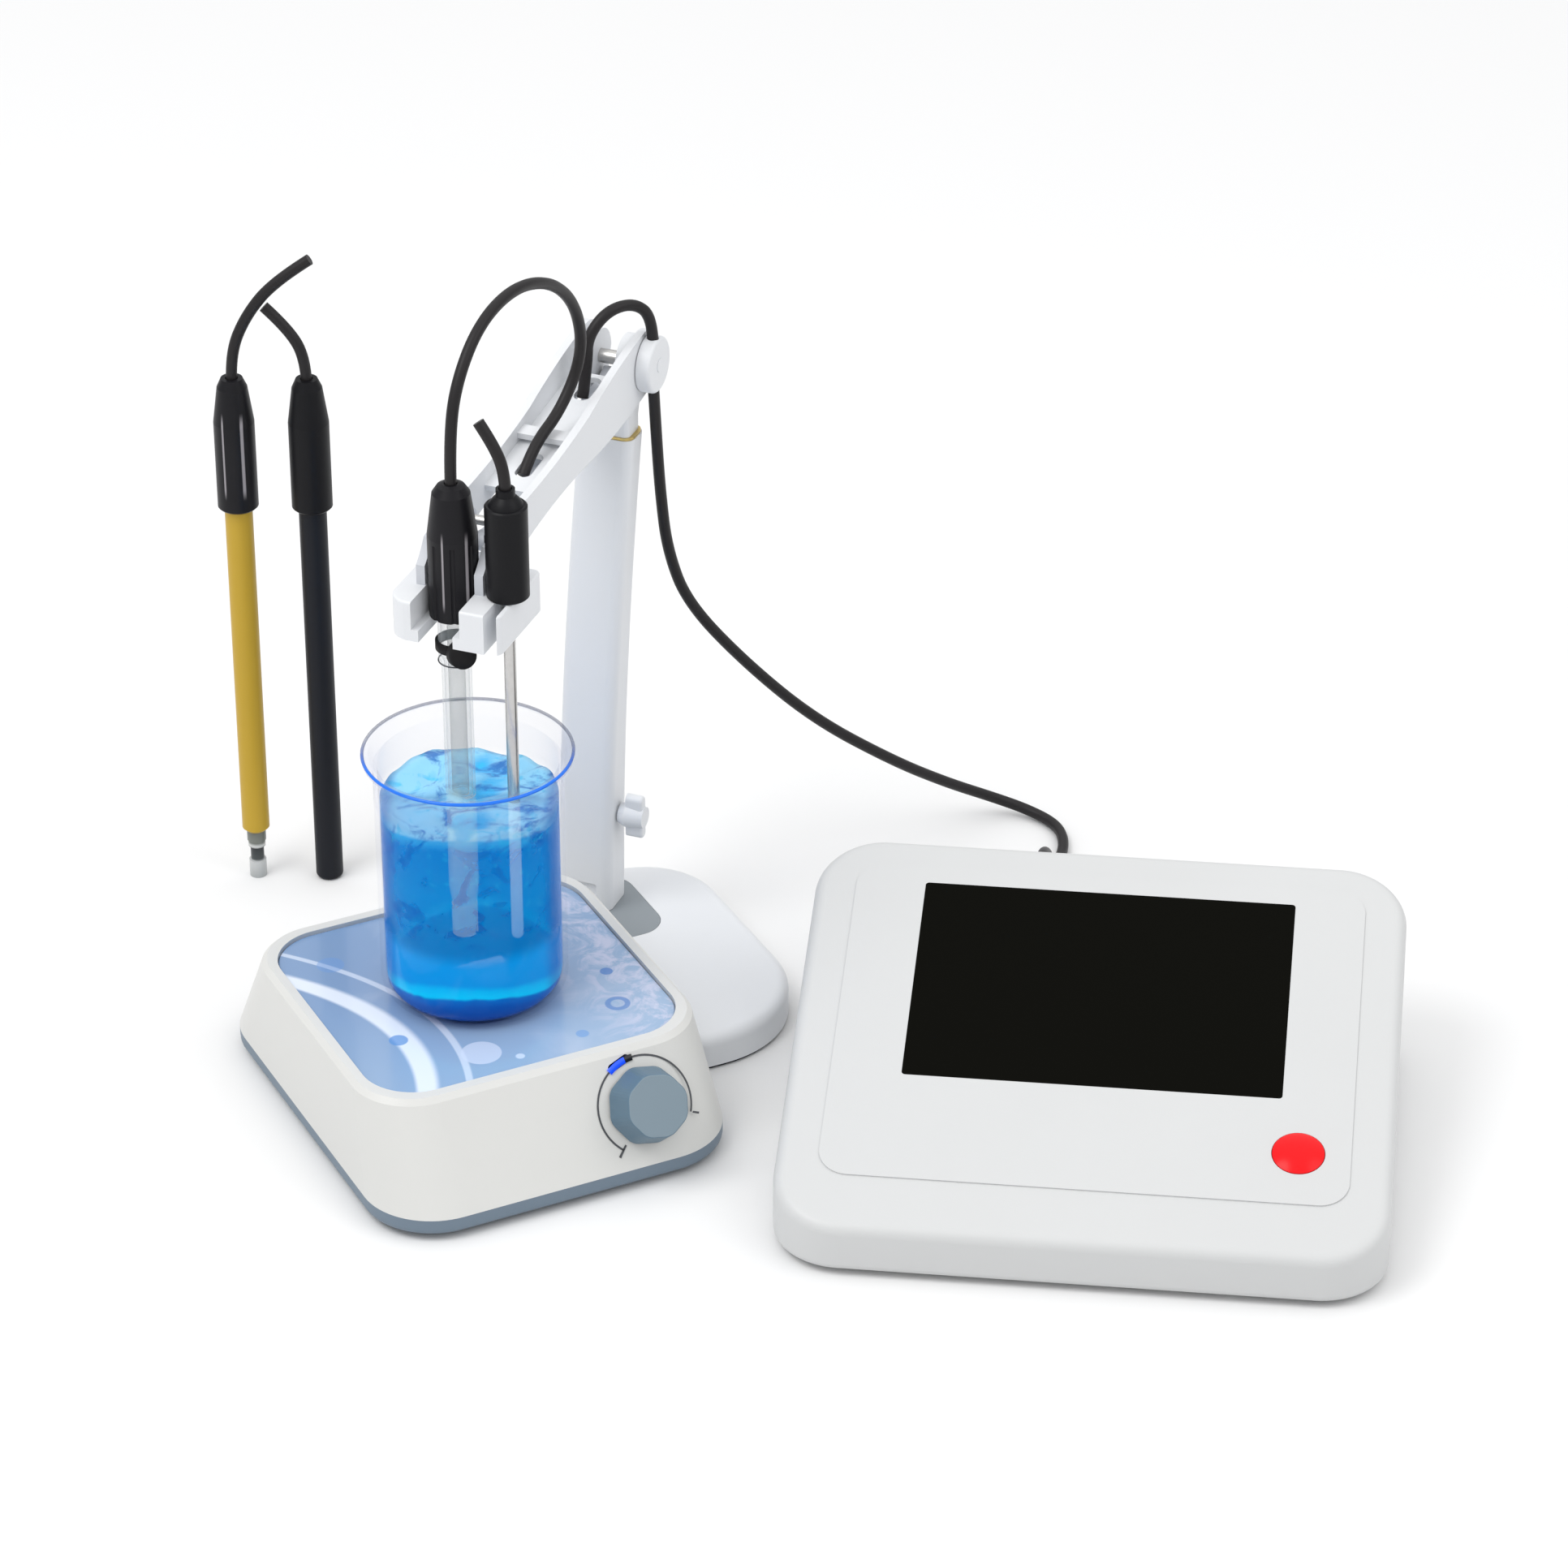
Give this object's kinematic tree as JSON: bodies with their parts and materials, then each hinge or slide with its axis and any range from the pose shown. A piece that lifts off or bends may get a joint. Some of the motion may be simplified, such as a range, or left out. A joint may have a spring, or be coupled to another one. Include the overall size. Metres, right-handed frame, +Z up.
{
  "type": "multi-parameter water quality meter",
  "caption": "Bench water quality meter with a sloping screen, magnetic stirrer and beaker, and a lifting electrode arm that stays level.",
  "frame": {"origin": "centre of the whole set's footprint, on the bench", "axes": "+X along the bench from the stirrer to the meter, +Y away from the user, +Z up"},
  "size_m": [0.5056, 0.3601, 0.3411],
  "materials": {
    "white_shell": "fine satin texture",
    "screen": "glossy dark cover glass",
    "dark_board": "matte",
    "circuit_board": "green board with dark parts",
    "plated_metal": "nickel plated",
    "black_plastic": "satin",
    "red_button": "glossy translucent dome",
    "black_rubber": "matte",
    "steel": "turned",
    "stirrer_shell": "satin",
    "stirrer_band": "satin",
    "printed_plate": "printed film under a clear coat",
    "blue_knob": "satin",
    "blue_lamp": "clear lens",
    "glassware": "clear",
    "blue_liquid": "clear blue water sample",
    "white_polymer": "smooth",
    "stand_white": "satin",
    "grey_plastic": "satin",
    "brass_metal": "polished",
    "cap_black": "soft gloss",
    "electrode_glass": "clear",
    "inner_glass": "clear with reference fill",
    "amber_plastic": "translucent",
    "mustard_plastic": "satin",
    "cord_black": "satin jacket"
  },
  "bodies": {
    "root": {"meter_top_case": "white_shell", "meter_bottom_case": "white_shell", "screen_glass": "screen", "display_module": "dark_board", "main_board": "circuit_board", "bnc_sockets": "plated_metal", "probe_sockets": "black_plastic", "usb_socket": "plated_metal", "power_jacks": "black_plastic", "button_switch": "dark_board", "rubber_feet": "black_rubber", "case_screws": "steel", "stirrer_housing": "stirrer_shell", "stirrer_base_pan": "stirrer_band", "stirrer_top_plate": "printed_plate", "speed_pot": "circuit_board", "speed_lamp": "blue_lamp", "drive_motor": "steel", "beaker": "glassware", "sample_liquid": "blue_liquid", "stand_base": "stand_white", "base_sole": "black_rubber", "base_inlay": "grey_plastic", "yellow_cap": "cap_black", "yellow_tube": "mustard_plastic", "yellow_tip": "grey_plastic", "black_cap": "cap_black", "black_tube": "black_plastic", "yellow_cord": "cord_black", "black_cord": "cord_black", "meter_cord": "cord_black", "cord_plug": "plated_metal"},
    "button": {"power_button": "red_button"},
    "knob": {"speed_knob": "blue_knob", "pot_shaft": "steel"},
    "rotor": {"magnet_carrier": "black_plastic", "drive_magnets": "plated_metal"},
    "stirring_bar": {"stir_bar": "white_polymer"},
    "column": {"column_foot": "stand_white", "column_shell": "stand_white", "column_head": "stand_white", "brass_collar": "brass_metal", "hub_axle": "steel", "hub_cap": "stand_white"},
    "clamp": {"clamp_knob": "stand_white"},
    "arm": {"arm_channel": "stand_white", "bridge_cord": "cord_black"},
    "link": {"level_link": "grey_plastic"},
    "holder": {"holder_bracket": "grey_plastic", "bracket_pins": "steel", "electrode_holder": "stand_white", "ph_cap": "cap_black", "ph_glass_tube": "electrode_glass", "ph_inner_tube": "inner_glass", "ph_tip_guard": "amber_plastic", "ph_filler_plug": "black_rubber", "temp_cap": "cap_black", "temp_rod": "steel", "temp_cord": "cord_black", "ph_cord": "cord_black"}
  },
  "joints": [
    {"name": "button_press", "type": "slide", "parent": "root", "child": "button", "axis": [0, 0.2756, -0.9613], "range_m": [0, 0.0011], "stiffness_N_per_m": 900},
    {"name": "knob_turn", "type": "hinge", "parent": "root", "child": "knob", "pos_m": [-0.04534, -0.0806, 0.031], "axis": [0.4755, -0.7323, 0.4875], "range_deg": [-280, 0]},
    {"name": "drive_spin", "type": "hinge", "parent": "root", "child": "rotor", "pos_m": [-0.12118, -0.03175, 0.03], "axis": [0, 0, 1], "continuous": true},
    {"name": "bar_spin", "type": "hinge", "parent": "root", "child": "stirring_bar", "pos_m": [-0.12118, -0.03175, 0.0576], "axis": [0, 0, 1], "continuous": true},
    {"name": "column_swivel", "type": "hinge", "parent": "root", "child": "column", "pos_m": [-0.09266, 0.0973, 0.016], "axis": [0, 0, 1], "range_deg": [-3, 3], "deforming": ["meter_cord", "sample_liquid"]},
    {"name": "clamp_turn", "type": "hinge", "parent": "column", "child": "clamp", "pos_m": [-0.08047, 0.09537, 0.06], "axis": [0.9692, -0.2463, 0], "range_deg": [-180, 180]},
    {"name": "arm_lift", "type": "hinge", "parent": "column", "child": "arm", "pos_m": [-0.08478, 0.12831, 0.258], "axis": [-0.9692, 0.2463, 0], "range_deg": [0, 45], "deforming": ["bridge_cord", "ph_cord", "sample_liquid"]},
    {"name": "link_lift", "type": "hinge", "parent": "column", "child": "link", "pos_m": [-0.08478, 0.12831, 0.249], "axis": [-0.9692, 0.2463, 0], "range_deg": [0, 45]},
    {"name": "holder_level", "type": "hinge", "parent": "arm", "child": "holder", "pos_m": [-0.11675, 0.00252, 0.24596], "axis": [-0.9692, 0.2463, 0], "range_deg": [-45, 0], "deforming": ["ph_cord", "sample_liquid"]}
  ],
  "couplings": [
    {"joint": "bar_spin", "follows": "drive_spin", "ratio": 1},
    {"joint": "link_lift", "follows": "arm_lift", "ratio": 1},
    {"joint": "holder_level", "follows": "arm_lift", "ratio": -1}
  ]
}
